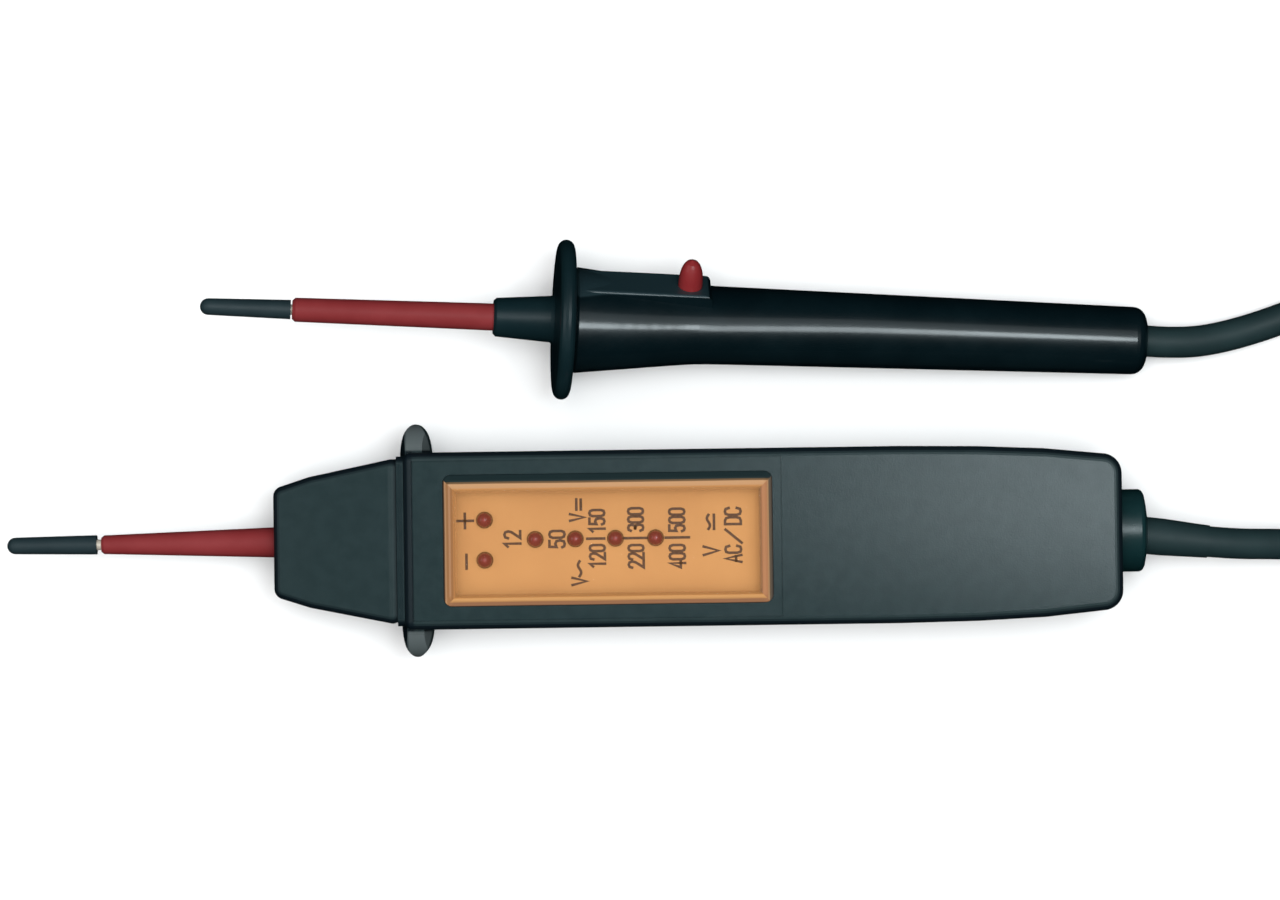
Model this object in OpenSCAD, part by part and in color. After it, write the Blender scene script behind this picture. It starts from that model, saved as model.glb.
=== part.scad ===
// Two-pole voltage tester: a display unit and a push-button probe on one cable.
// Millimetres. +X runs from the test tips to the cable, +Z is up from the surface it lies on.
// The display unit is drawn from the front face of its housing, the probe along its own axis.

/* [Display housing] */
// Length of the housing from nose face to rear face
housing_l = 161.2; // [150:0.2:200]
// Thickness of the housing
body_t = 24; // [22:0.5:32]
// Width of the body behind the guard
body_w = 33.6; // [32:0.2:44]
// Width of the body at its rear face
rear_w = 29.8; // [28:0.2:40]
// Length over which the body narrows to its rear face
taper_l = 42; // [20:1:60]
// Length of the tapered nose
nose_l = 24.2; // [22:0.2:34]
// Width of the nose at its front face
nose_w = 21.6; // [18:0.2:28]
// Thickness of the nose at its front face
nose_t = 16; // [14:0.5:20]
// Width of the nose at the guard
neck_w = 31.2; // [28:0.2:42]
// Thickness of the nose at the guard
neck_t = 20.4; // [18:0.2:22]
// How far each side of the nose curves out at mid-length
nose_bulge = 0.3; // [0:0.1:1]
// Wall thickness
wall = 2; // [1.6:0.1:2.4]
// Radius of the long edges
edge_r = 1.6; // [0.8:0.1:2]
// Corner radius of the nose at its front, seen from above
nose_corner_r = 2; // [2:0.1:4]
// Corner radius of the rear end, seen from above
rear_corner_r = 3.8; // [2.6:0.1:5]
// Depth of the shallow panel around the window
panel_depth = 0.4; // [0.2:0.1:0.8]
// Width and depth of the fine groove where the halves meet
seam_groove = 0.3; // [0.1:0.05:0.5]

/* [Finger guard of the display housing] */
// Width over both ears
ear_span = 44.4; // [40:0.2:56]
// Length of an ear along the housing
ear_l = 5.8; // [4:0.2:8]
// Height of the ears
ear_h = 17; // [12:0.5:20]
// Width of the bevels along the rear edges of an ear
ear_bevel = 1.5; // [0.5:0.1:2]
// Thickness of the flange line between nose and body
flange_t = 1.1; // [0.8:0.1:2]

/* [Display] */
// Length of the clear window
window_l = 62.3; // [56:0.1:70]
// Width of the clear window
window_w = 24.8; // [22:0.1:27]
// Distance from the housing's front face to the window
window_x = 32.5; // [32:0.1:40]
// Height of the window above the panel
window_rise = 1.2; // [0.6:0.1:2]
// Width of the window's bevelled border
bevel_w = 1; // [0.6:0.1:1.6]
// Width of the solid rim that carries the window's face
window_rim = 2.1; // [1.8:0.1:3]
// Corner radius of the window
window_corner_r = 1.5; // [1:0.1:2]
// Thickness of the clear window
window_t = 1.4; // [1:0.1:2]
// Diameter of an LED
led_d = 3; // [2.8:0.1:4]
// Distance between neighbouring LEDs
led_pitch = 7.62; // [7:0.01:8]
// Distance from the window's front edge to the plus and minus LEDs
led_first = 7.7; // [5:0.1:9]
// Distance from the window's front edge to the first LED of the voltage row
led_row = 17.3; // [15:0.1:20]

/* [Circuit board] */
// Length of the circuit board
board_l = 98; // [90:1:110]
// Width of the circuit board
board_w = 26; // [22:0.5:27]
// Thickness of a circuit board
board_t = 1.6; // [1:0.1:2]
// Height of the underside of the circuit board
board_z = 10; // [8:0.5:11]

/* [Test pins, sleeves and caps] */
// Diameter of a test pin
pin_d = 2; // [1.8:0.1:3]
// Length of pin that stands out of its sleeve
pin_out = 15.6; // [12:0.2:20]
// Length of a tip cap
cap_l = 17.2; // [16:0.1:22]
// Diameter of a tip cap at its rounded tip
cap_tip_d = 3.2; // [2.8:0.1:4]
// Diameter of a tip cap at its open end
cap_end_d = 3.7; // [3.4:0.1:5]
// Gap between the display unit's cap and its sleeve
main_cap_gap = 0.9; // [0:0.1:2]
// Gap between the probe's cap and its sleeve
probe_cap_gap = 0.3; // [0.1:0.1:2]
// Length of the display unit's sleeve outside the housing
main_sleeve_l = 33.4; // [28:0.2:45]
// Diameter of the display unit's sleeve at its front
main_sleeve_tip_d = 3.6; // [3.4:0.1:5]
// Diameter of the display unit's sleeve at the housing
main_sleeve_d = 5.8; // [5:0.1:7]
// Length of the probe's sleeve outside the collar
probe_sleeve_l = 38.3; // [30:0.1:45]
// Diameter of the probe's sleeve at its front
probe_sleeve_tip_d = 4.6; // [3.4:0.1:5]
// Diameter of the probe's sleeve at the collar
probe_sleeve_d = 5.2; // [4.8:0.1:6]

/* [Probe] */
// Length of the collar in front of the guard
collar_l = 11.6; // [8:0.2:16]
// Diameter of the collar at its front
collar_tip_d = 7.4; // [7:0.1:9]
// Diameter of the collar at the guard
collar_d = 8.9; // [8.5:0.1:11]
// Diameter of the guard disc
guard_d = 30.6; // [27:0.2:38]
// Thickness of the guard's rounded rim
guard_rim = 3.1; // [2:0.1:4]
// How far the guard's face rises from its rim to the collar
guard_dome = 0.3; // [0:0.1:3]
// Length of the handle
handle_l = 110.2; // [100:0.2:140]
// Radius of the handle behind the flare
handle_r = 7.8; // [7.4:0.1:9]
// Radius of the handle at its rear
handle_rear_r = 6.5; // [6.2:0.1:8]
// Extra radius of the flare at the guard
flare_r = 2.35; // [1:0.05:4]
// Length of the flare
flare_l = 23.5; // [20:0.5:40]
// Radius of the handle's rear edge
handle_edge_r = 2.4; // [1:0.1:2.6]

/* [Push button] */
// Distance from the front of the handle to the button
button_x = 21.6; // [18:0.2:30]
// Angle of the button around the handle, from level towards the top
button_roll = 37; // [0:1:90]
// Diameter of the button
button_d = 4.6; // [4:0.1:5]
// Height of the button above its pad
button_h = 5.8; // [3:0.1:7]
// Distance from the handle's axis to the flat pad at its rear
pad_r = 9.15; // [9:0.05:10]
// Distance from the handle's axis to the flat pad at its front
pad_front_r = 9.5; // [9:0.05:10.5]
// Width of the flat pad
pad_w = 7.2; // [6:0.1:8]
// Length of the flat pad behind the front of the handle
pad_l = 25.8; // [24:0.2:40]
// How far the button travels
button_travel = 1.5; // [0.5:0.1:1.5]

/* [Cable] */
// Diameter of the cable
cable_d = 6; // [5:0.1:6.2]
// Outer diameter of the gland
gland_d = 15.8; // [14:0.2:18]
// Length of the gland outside the housing
gland_l = 5.4; // [3:0.1:8]
// Sideways offset of the cable in its gland
gland_offset = -1; // [-1.5:0.1:1.5]
// Length of the tapered boot on the cable
boot_l = 12; // [6:0.5:16]
// Extra radius of the boot over the cable at the gland
boot_wall = 0.55; // [0.4:0.05:1]
// Angle at which the boot leaves the gland sideways
boot_tilt = 6.5; // [0:0.5:8]

/* [Screws and clearances] */
// Diameter of a housing screw
screw_d = 2.9; // [2.2:0.1:3]
// Diameter of a housing screw's head
screw_head_d = 5; // [4:0.1:5.4]
// Diameter of a board or clamp screw
small_screw_d = 2.2; // [1.6:0.1:2.4]
// Radial clearance of a sliding fit
slide_gap = 0.05; // [0.02:0.01:0.08]
// Gap between fixed pieces
fit_gap = 0.1; // [0.05:0.05:0.2]
// Radial clearance of the cable in its holes
cable_gap = 0.2; // [0.15:0.05:0.4]

/* [Where the probe lies] */
// Place of the probe's guard along the display unit, from its tip
probe_guard_x = 107.2; // [100:0.1:120]
// Distance between the display unit's axis and the centre of the probe's guard
probe_side = 41.8; // [39:0.1:60]
// Angle of the probe to the display unit
probe_yaw = -2.8; // [-4:0.1:4]

/* [Hidden] */
$fn = 48;

// Heights shared by everything in the display housing
axis_z = body_t / 2;
seam_z = axis_z;
body_x = nose_l + flange_t - 0.4;
taper_x = housing_l - taper_l;
ceiling_z = body_t - wall;
panel_z = body_t - panel_depth;
panel_margin = 1.8;
flange_step = 0.5;
flange_root = 0.6;

// Posts of the housing's plan: [distance behind the front face, half width, corner radius, thickness]
nose_stops = [0.3, 0.65];
taper_stops = [0, 0.35, 0.65];
nose_posts = [
    [nose_corner_r, nose_w / 2, nose_corner_r, nose_t],
    for (t = nose_stops) [t * nose_l, nose_half(t), edge_r, nose_t + (neck_t - nose_t) * t],
    [nose_l - edge_r, neck_w / 2, edge_r, neck_t]
];
body_posts = [
    [body_x + edge_r, body_w / 2, edge_r, body_t],
    for (t = taper_stops) [taper_x + t * taper_l, half_width(taper_x + t * taper_l), edge_r, body_t],
    [housing_l - rear_corner_r, rear_w / 2, rear_corner_r, body_t]
];

// Each ear is a tab with a half-elliptic end, which starts inside the body's edge
ear_side = body_w / 2 - 1;
ear_reach = ear_span / 2 - ear_side;
ear_front_bevel = 1.1;
ear_bevel_h = 3.2;
ear_corner_r = 5;

// Housing screws: front pair beside the window, rear pair in front of the cable clamp
front_boss_x = nose_l + 4.3;
front_boss_y = body_w / 2 - 4.9;
rear_boss_x = housing_l - 18.2;
rear_boss_y = rear_w / 2 - 5;
screw_places = [
    for (s = [-1, 1]) [front_boss_x, s * front_boss_y],
    for (s = [-1, 1]) [rear_boss_x, s * rear_boss_y]
];
screw_head_z = 4.4;
screw_head_t = 1.6;
screw_tip_z = seam_z + 6;
boss_r = 2.6;
low_boss_r = screw_head_d / 2 + 1.4;
lip_h = 1.2;
lip_t = 0.9;

// The window seats from inside, and the scale plate lies under its flange
window_mid_x = window_x + window_l / 2;
window_top = panel_z + window_rise;
window_edge = 0.2;
layer_t = 0.01;
flange_w = 0.9;
flange_h = 1.5;
flange_z = ceiling_z - flange_h;
plate_t = 0.8;
plate_z = flange_z - fit_gap - plate_t;
led_x = window_x + led_first;
led_row_x = window_x + led_row;
led_places = [
    [led_x, led_pitch / 2], [led_x, -led_pitch / 2],
    [led_row_x, 0], [led_row_x + led_pitch, 0],
    [led_row_x + 2 * led_pitch, 0], [led_row_x + 3 * led_pitch, 0]
];
led_stand = 1.8;
led_top = plate_z + plate_t + led_stand;
led_body_h = 5.3;
led_rim_h = 1;
lead_d = 0.5;
lead_pitch = 2.54;

// Circuit board and what stands on it
board_x = window_x + 2.6;
board_top = board_z + board_t;
post_r = 2.2;
post_places = [for (x = [4, board_l - 4]) for (s = [-1, 1]) [board_x + x, s * (board_w / 2 - 3)]];
chip_x = board_x + 70;
capacitor_x = board_x + 83;
capacitor_d = 6.3;
capacitor_h = 7;
resistor_x = board_x + 50;
resistor_pitch = 5;

// Pin, sleeve and terminal share one axis in the nose
front_wall = wall + 0.4;
sleeve_in = 8;
sleeve_stop_d = main_sleeve_d + 2.6;
sleeve_stop_t = 1.6;
sleeve_rib_t = 1.2;
sleeve_rib_x = front_wall + sleeve_stop_t + 2 * fit_gap;
terminal_l = 10;
terminal_w = 7;
terminal_x = sleeve_in + 0.6;
grub_d = 3;

// Gland and cable clamp
gland_neck_r = 5.2;
gland_flange_r = 6.8;
gland_flange_t = 1.6;
clamp_x = housing_l - 10.5;
clamp_l = 5;
clamp_t = 2;
clamp_post_y = 6.9;
clamp_posts = [for (s = [-1, 1]) [clamp_x, gland_offset + s * clamp_post_y]];
clamp_z = axis_z - cable_d / 2 + clamp_t;
jacket_x = housing_l - 15;
clamp_bar_t = 1.6;
small_head_d = 4;
small_head_t = 1.2;
small_screw_l = 6.5;
boot_in = 1;
boot_recess = 1.7;
boot_r = cable_d / 2 + boot_wall;
boot_end_r = cable_d / 2 + 0.12;
boot_drop = 2;

// Probe, measured along its axis from the tip of its cap
tip_inside = 2;
sleeve_x = cap_l + probe_cap_gap;
collar_x = sleeve_x + probe_sleeve_l;
hub_x = collar_x + collar_l;
rim_r = guard_rim / 2;
guard_x = hub_x + guard_dome + rim_r;
guard_back = guard_x + rim_r;
shadow_gap = 0.4;
handle_x = guard_back + shadow_gap;
handle_end = handle_x + handle_l;
spigot_r = handle_r - 0.2;
spigot_l = 9;
chamber_r = 5.6;
chamber_end = handle_x + button_x + 8;
tube_r = 4.6;
rear_wall = 4.5;
switch_x = handle_x + button_x;

// The probe rests on the guard's rim and the rear edge of its handle
rest_run = handle_end - handle_edge_r - guard_x;
rest_rise = guard_d / 2 - rim_r - (handle_rear_r - handle_edge_r);
rest_step = rim_r - handle_edge_r;
probe_pitch = asin(rest_step / norm([rest_run, rest_rise])) + atan(rest_rise / rest_run);
guard_z = (guard_d / 2 - rim_r) * cos(probe_pitch) + rim_r;

// Button, measured along its own axis from the handle's axis
button_stop = 7;
button_fullness = 2.8;
pad_edge_r = 0.5;
pad_drop_r = 1.6;
button_flange_t = 0.8;
button_flange_r = button_d / 2 + 0.8;
button_foot_r = 1.4;
button_foot = 1.2;
switch_z = -0.8;
switch_top = 2.2;
switch_w = 6.2;
plunger_top = button_stop - button_flange_t - button_foot - button_travel - 0.1;
spring_r = 2.35;
spring_wire_r = 0.28;
spring_turns = 4.5;

// Display unit's tip lies at this distance in front of its housing
tip_x = main_sleeve_l + main_cap_gap + cap_l;
overall_l = tip_x + housing_l + gland_l;
origin_x = max(overall_l, probe_guard_x + (handle_end - guard_x) * cos(probe_pitch)) / 2;
origin_y = (probe_side + guard_d / 2 - ear_span / 2) / 2;

// Cable: routes in the part's own frame, and the coil of the stored length
route_probe = [
    [94.5, 19.6, 7.5], [99.4, 19.4, 7.1], [104.4, 19.1, 6.7], [109.4, 18.9, 6.3], [114.3, 18.6, 5.9],
    [119.3, 18.7, 5.2], [124, 19.4, 4.4], [129, 20.6, 3.7], [134.5, 22.3, 3.3], [142, 25, 3.1],
    [152, 28.9, 3.1], [162, 32.8, 3.1], [172, 37, 3.1], [182, 42, 3.1], [192.5, 48, 3.1]
];
route_main = [
    [88.2, -18.45, 12], [94.8, -18.45, 12], [101.6, -18.45, 12], [108.6, -18.45, 12], [114.5, -19.1, 11.8],
    [120.5, -19.8, 11.6], [126.5, -20.3, 10.5], [133, -20.5, 8.8], [139, -20.7, 7], [146, -20.8, 5.2],
    [153, -20.9, 3.9], [160, -21, 3.2], [167, -21, 3.3], [174, -21, 4.3], [182, -21, 6.2],
    [190, -21, 8.1], [199, -21, 9.1], [211, -21, 9.2]
];
coil_centre = [211, 16];
coil_mid_r = 34;
coil_turns_wide = 2;
coil_turns_high = 2;
coil_w = coil_turns_wide * cable_d + 0.2;
coil_h = coil_turns_high * cable_d + 0.2;
tie_t = 0.85;
tie_w = 4;
ring_sides = 8;

// Colours as the photo shows them
black_plastic = [0.17, 0.22, 0.23];
gloss_black = [0.1, 0.14, 0.16];
red_plastic = [0.55, 0.2, 0.21];
amber_plate = [0.85, 0.61, 0.38];
clear_plastic = [0.9, 0.85, 0.75, 0.4];
metal = [0.72, 0.7, 0.62];
brass = [0.76, 0.62, 0.3];
board_green = [0.12, 0.35, 0.2];

// Frames

module display_unit() {
    translate([tip_x - origin_x, -origin_y, 0]) children();
}

module probe_unit() {
    translate([probe_guard_x - origin_x, probe_side - origin_y, guard_z])
        rotate([0, 0, probe_yaw])
            rotate([0, probe_pitch, 0])
                translate([-guard_x, 0, 0]) children();
}

module button_frame() {
    translate([switch_x, 0, 0]) rotate([button_roll - 90, 0, 0]) children();
}

// Shared shapes

// A turned piece along +X: points are [distance along X, radius]
module turned(points, x = 0) {
    translate([x, 0, 0]) rotate([0, 90, 0]) rotate_extrude() polygon([for (p = points) [p[1], p[0]]]);
}

module rod_x(x, r, l) {
    translate([x, 0, 0]) rotate([0, 90, 0]) cylinder(r = r, h = l);
}

module rounded_rect(l, w, r) {
    offset(r = r) square([l - 2 * r, w - 2 * r], center = true);
}

// An upright post with rounded rims, for the corners of a housing
module soft_post(corner, rim, height) {
    rotate_extrude($fn = 32) intersection() {
        translate([0, rim]) offset(r = rim, $fn = 24)
            square([max(corner - rim, 0.01), height - 2 * rim]);
        square([corner, height]);
    }
}

// A tube swept along points, as one closed solid
function unit(v) = v / norm(v);
function heading(p, i) = unit(p[min(i + 1, len(p) - 1)] - p[max(i - 1, 0)]);
function side_of(t) = unit(cross(t, [0, 0, 1]));
function ring_at(c, t, r, n) = let (a = side_of(t), b = cross(t, a))
    [for (k = [0 : n - 1]) c + r * (cos(k * 360 / n) * a + sin(k * 360 / n) * b)];

module swept(points, r, n = ring_sides) {
    last = len(points) - 1;
    rings = [for (i = [0 : last]) each ring_at(points[i], heading(points, i), r, n)];
    near_cap = [for (k = [n - 1 : -1 : 0]) k];
    far_cap = [for (k = [0 : n - 1]) last * n + k];
    sides = [
        for (i = [0 : last - 1]) for (k = [0 : n - 1]) let (j = (k + 1) % n)
            [i * n + k, i * n + j, (i + 1) * n + j, (i + 1) * n + k]
    ];
    polyhedron(rings, concat([near_cap], sides, [far_cap]), convexity = 6);
}

// Display housing

// Half the width of the nose at a share of its length, and of the body at a distance from the front face
function nose_half(t) = (nose_w + (neck_w - nose_w) * t) / 2 + 4 * nose_bulge * t * (1 - t);
function half_width(x) =
    let (t = max(0, x - taper_x) / taper_l)
    body_w / 2 - (body_w - rear_w) / 2 * t * t;

// A plan that is the same on both sides of the axis, from one side's points
module mirrored_plan(side) {
    polygon(concat(side, [for (i = [len(side) - 1 : -1 : 0]) [side[i][0], -side[i][1]]]));
}

module nose_outline(inset) {
    corner = [nose_corner_r, nose_w / 2 - nose_corner_r];
    mirrored_plan(concat(
        [for (a = [180 : -15 : 90]) corner + (nose_corner_r - inset) * [cos(a), sin(a)]],
        [for (t = nose_stops) [t * nose_l, nose_half(t) - inset]],
        [[nose_l, neck_w / 2 - inset]]
    ));
}

module body_outline(inset) {
    corner = [housing_l - rear_corner_r, rear_w / 2 - rear_corner_r];
    mirrored_plan(concat(
        [[body_x + inset, body_w / 2 - inset]],
        [for (t = taper_stops) let (x = taper_x + t * taper_l) [x, half_width(x) - inset]],
        [for (a = [90 : -15 : 0]) corner + (rear_corner_r - inset) * [cos(a), sin(a)]]
    ));
}

module post_ring(posts) {
    hull() for (p = posts) for (s = [-1, 1])
        translate([p[0], s * (p[1] - p[2]), axis_z - p[3] / 2]) soft_post(p[2], edge_r, p[3]);
}

module nose_block() {
    post_ring(nose_posts);
}

module body_block() {
    post_ring(body_posts);
}

// The flange is the thin line between the nose and the body
module guard_flange() {
    translate([nose_l - flange_root, 0, axis_z]) rotate([90, 0, 90]) linear_extrude(flange_t + flange_root)
        rounded_rect(neck_w + 2 * flange_step, neck_t + 2 * flange_step, edge_r);
}

module ear_outline(inset) {
    translate([nose_l + ear_l / 2, 0]) polygon([
        for (s = [1, -1]) for (a = [0 : 10 : 180])
            [s * (ear_l / 2 - inset) * cos(a), s * (ear_side + (ear_reach - inset) * sin(a))]
    ]);
}

// Ears on both sides: the plan, side and end outlines cut each other
module ears() {
    front = nose_l;
    rear = nose_l + ear_l;
    low = axis_z - ear_h / 2;
    high = axis_z + ear_h / 2;
    intersection() {
        linear_extrude(body_t) ear_outline(0);
        translate([front, 0, axis_z]) rotate([90, 0, 90]) linear_extrude(ear_l)
            rounded_rect(ear_span, ear_h, ear_corner_r);
        rotate([90, 0, 0]) translate([0, 0, -ear_span / 2]) linear_extrude(ear_span) polygon([
            [front + ear_front_bevel, low], [front, low + ear_bevel_h],
            [front, high - ear_bevel_h], [front + ear_front_bevel, high],
            [rear - ear_bevel, high], [rear, high - ear_bevel_h],
            [rear, low + ear_bevel_h], [rear - ear_bevel, low]
        ]);
    }
}

// The fine groove that runs round the housing where its halves meet
module seam_line() {
    translate([0, 0, seam_z - seam_groove / 2]) linear_extrude(seam_groove) difference() {
        translate([-1, -ear_span]) square([housing_l + 2, 2 * ear_span]);
        nose_outline(seam_groove);
        body_outline(seam_groove);
        ear_outline(seam_groove);
        translate([nose_l - flange_root, seam_groove - neck_w / 2 - flange_step])
            square([flange_t + flange_root, neck_w + 2 * (flange_step - seam_groove)]);
    }
}

module housing_outside() {
    difference() {
        union() {
            nose_block();
            body_block();
            guard_flange();
            ears();
        }
        translate([body_x + edge_r, -body_w / 2 + edge_r, panel_z])
            cube([window_x + window_l + panel_margin - body_x - edge_r, body_w - 2 * edge_r, body_t]);
        seam_line();
    }
}

module housing_inside() {
    hull() {
        translate([front_wall, wall - nose_w / 2, axis_z - nose_t / 2 + wall])
            cube([0.1, nose_w - 2 * wall, nose_t - 2 * wall]);
        translate([nose_l + wall + 1, wall - neck_w / 2, axis_z - neck_t / 2 + wall])
            cube([0.1, neck_w - 2 * wall, neck_t - 2 * wall]);
    }
    translate([0, 0, wall]) linear_extrude(body_t - 2 * wall) body_outline(wall);
}

module sleeve_and_gland_holes() {
    translate([0, 0, axis_z]) {
        rod_x(-1, main_sleeve_d / 2 + fit_gap, sleeve_rib_x + sleeve_rib_t + 2);
        rod_x(housing_l - wall - 1, gland_neck_r + fit_gap, wall + 3);
    }
}

// An upright rib behind the sleeve's stop, one for each half
module sleeve_rib(z, h) {
    translate([sleeve_rib_x, -nose_w / 2, z]) cube([sleeve_rib_t, nose_w, h]);
}

module upper_half() {
    translate([-1, -ear_span, seam_z]) cube([housing_l + 2, 2 * ear_span, body_t]);
}

module lower_half() {
    translate([-1, -ear_span, seam_z - body_t]) cube([housing_l + 2, 2 * ear_span, body_t]);
}

module lip(grow, h) {
    translate([0, 0, seam_z - 0.01]) linear_extrude(h) difference() {
        body_outline(wall - lip_t - grow);
        body_outline(wall);
        translate([housing_l - wall - 2, -gland_flange_r - 1]) square([wall + 3, 2 * gland_flange_r + 2]);
        translate([body_x, -neck_w / 2]) square([wall + 2, neck_w]);
    }
}

module housing_top() {
    color(black_plastic) difference() {
        union() {
            difference() {
                intersection() {
                    housing_outside();
                    upper_half();
                }
                housing_inside();
            }
            for (p = screw_places)
                translate([p[0], p[1], seam_z]) cylinder(r = boss_r, h = ceiling_z - seam_z + 0.5);
            intersection() {
                sleeve_rib(axis_z, nose_t / 2);
                nose_block();
            }
        }
        lip(fit_gap, lip_h + fit_gap);
        sleeve_and_gland_holes();
        for (p = screw_places)
            translate([p[0], p[1], seam_z - 1]) cylinder(d = screw_d - 0.4, h = screw_tip_z - seam_z + 1.5);
        translate([window_mid_x, 0, plate_z - 1]) linear_extrude(body_t)
            rounded_rect(window_l + 2 * fit_gap, window_w + 2 * fit_gap, window_corner_r + fit_gap);
    }
}

module housing_bottom() {
    color(black_plastic) difference() {
        union() {
            difference() {
                intersection() {
                    housing_outside();
                    lower_half();
                }
                housing_inside();
            }
            lip(0, lip_h);
            for (p = screw_places) translate([p[0], p[1], 0.5]) cylinder(r = low_boss_r, h = seam_z - 0.5);
            for (p = post_places) translate([p[0], p[1], 0.5]) cylinder(r = post_r, h = board_z - 0.5);
            for (p = clamp_posts) translate([p[0], p[1], 0.5]) cylinder(r = post_r, h = clamp_z - 0.5);
            intersection() {
                sleeve_rib(axis_z - nose_t / 2, nose_t / 2);
                nose_block();
            }
            translate([terminal_x + 1, -terminal_w / 2, axis_z - nose_t / 2 + 0.5])
                cube([terminal_l - 2, terminal_w, nose_t / 2 - terminal_w / 2 - 0.5]);
            translate([clamp_x - clamp_l / 2, gland_offset - 2, 0.5])
                cube([clamp_l, 4, axis_z - cable_d / 2 - 0.5 - fit_gap]);
        }
        sleeve_and_gland_holes();
        for (p = screw_places) translate([p[0], p[1], -1]) {
            cylinder(d = screw_d + 0.3, h = seam_z + 2);
            cylinder(d = screw_head_d + 0.4, h = screw_head_z + screw_head_t + 1);
        }
        for (p = concat(post_places, clamp_posts))
            translate([p[0], p[1], board_z - 6]) cylinder(d = small_screw_d - 0.3, h = 12);
    }
}

// A self-tapping screw pointing up, its head at the bottom
module tapping_screw(d, head_d, head_t, l) {
    difference() {
        union() {
            cylinder(d = head_d, h = head_t);
            cylinder(d = d, h = head_t + l - d / 2);
            translate([0, 0, head_t + l - d / 2]) cylinder(d1 = d, d2 = 0.6, h = d / 2);
        }
        for (a = [0, 90]) rotate([0, 0, a])
            translate([-head_d * 0.3, -head_d * 0.07, -1])
                cube([head_d * 0.6, head_d * 0.14, 1 + head_t * 0.55]);
    }
}

module housing_screws() {
    color(metal) for (p = screw_places) translate([p[0], p[1], screw_head_z])
        tapping_screw(screw_d, screw_head_d, screw_head_t, screw_tip_z - screw_head_z - screw_head_t);
}

// Display

// The outline that the window's flange shares with the scale plate
module window_seat() {
    rounded_rect(window_l + 2 * flange_w, window_w + 2 * flange_w, window_corner_r + flange_w);
}

// A thin layer of the window, set in from its outline
module window_layer(top, inset) {
    translate([window_mid_x, 0, top - layer_t]) linear_extrude(layer_t)
        rounded_rect(window_l - 2 * inset, window_w - 2 * inset, window_corner_r - inset / 2);
}

// The flange, the pane, and the bevelled face with its softened edge
module display_window() {
    bevel_h = window_top - window_edge - panel_z;
    color(clear_plastic) difference() {
        union() {
            translate([window_mid_x, 0, flange_z]) linear_extrude(flange_h) window_seat();
            translate([window_mid_x, 0, flange_z]) linear_extrude(panel_z - flange_z + 2 * layer_t)
                rounded_rect(window_l, window_w, window_corner_r);
            hull() {
                window_layer(panel_z + 2 * layer_t, 0);
                window_layer(panel_z + bevel_h, bevel_w);
                window_layer(window_top, bevel_w + 2 * window_edge);
            }
        }
        translate([window_mid_x, 0, flange_z - 1]) linear_extrude(window_top - window_t - flange_z + 1)
            rounded_rect(window_l - 2 * window_rim, window_w - 2 * window_rim, window_corner_r / 2);
    }
}

module scale_plate() {
    color(amber_plate) difference() {
        translate([window_mid_x, 0, plate_z]) linear_extrude(plate_t) window_seat();
        for (p = led_places)
            translate([p[0], p[1], plate_z - 1]) cylinder(d = led_d + 2 * fit_gap, h = plate_t + 2);
    }
}

// One LED on its two leads, which pass through the circuit board
module led(place) {
    low = led_top - led_body_h;
    color(red_plastic) translate([place[0], place[1], 0]) {
        translate([0, 0, low]) rotate_extrude() polygon(concat(
            [[0, 0], [led_d / 2 + 0.4, 0], [led_d / 2 + 0.4, led_rim_h], [led_d / 2, led_rim_h]],
            [for (a = [0 : 10 : 90]) [led_d / 2 * cos(a), led_body_h - led_d / 2 + led_d / 2 * sin(a)]]
        ));
        for (s = [-1, 1]) translate([0, s * lead_pitch / 2, board_z - 1])
            cylinder(d = lead_d, h = low - board_z + 1.2, $fn = 16);
    }
}

module led_plus() { led(led_places[0]); }
module led_minus() { led(led_places[1]); }
module led_50() { led(led_places[2]); }
module led_120() { led(led_places[3]); }
module led_220() { led(led_places[4]); }
module led_400() { led(led_places[5]); }

// Circuit board

module circuit_board() {
    color(board_green) difference() {
        translate([board_x + board_l / 2, 0, board_z]) linear_extrude(board_t)
            rounded_rect(board_l, board_w, 1);
        for (p = led_places) for (s = [-1, 1]) translate([p[0], p[1] + s * lead_pitch / 2, board_z - 1])
            cylinder(d = lead_d + 2 * fit_gap, h = board_t + 2, $fn = 16);
        for (p = post_places) translate([p[0], p[1], board_z - 1])
            cylinder(d = small_screw_d + 0.3, h = board_t + 2);
    }
}

module board_screws() {
    color(metal) for (p = post_places) translate([p[0], p[1], board_top + small_head_t])
        rotate([180, 0, 0]) tapping_screw(small_screw_d, small_head_d, small_head_t, small_screw_l);
}

module driver_chip() {
    body_l = 9.8;
    leg_pitch = 2.54;
    color([0.08, 0.08, 0.09]) {
        translate([chip_x, 0, board_top + 0.6]) linear_extrude(3.2) difference() {
            square([body_l, 6.4], center = true);
            translate([-body_l / 2, 0]) circle(d = 1.6);
        }
        for (i = [-1.5 : 1.5]) for (s = [-1, 1]) {
            translate([chip_x + i * leg_pitch - 0.25, s * 3.75 - 0.15, board_top]) cube([0.5, 0.3, 2.4]);
            translate([chip_x + i * leg_pitch - 0.25, s * 3.4 - 0.5, board_top + 2]) cube([0.5, 1, 0.4]);
        }
    }
}

module capacitor() {
    color([0.2, 0.25, 0.4]) translate([capacitor_x, 5, board_top]) rotate_extrude() polygon([
        [0, 0], [capacitor_d / 2 - 0.3, 0], [capacitor_d / 2, 0.3], [capacitor_d / 2, 0.9],
        [capacitor_d / 2 - 0.4, 1.3], [capacitor_d / 2, 1.7], [capacitor_d / 2, capacitor_h - 0.4],
        [capacitor_d / 2 - 0.4, capacitor_h], [0, capacitor_h]
    ]);
}

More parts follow.
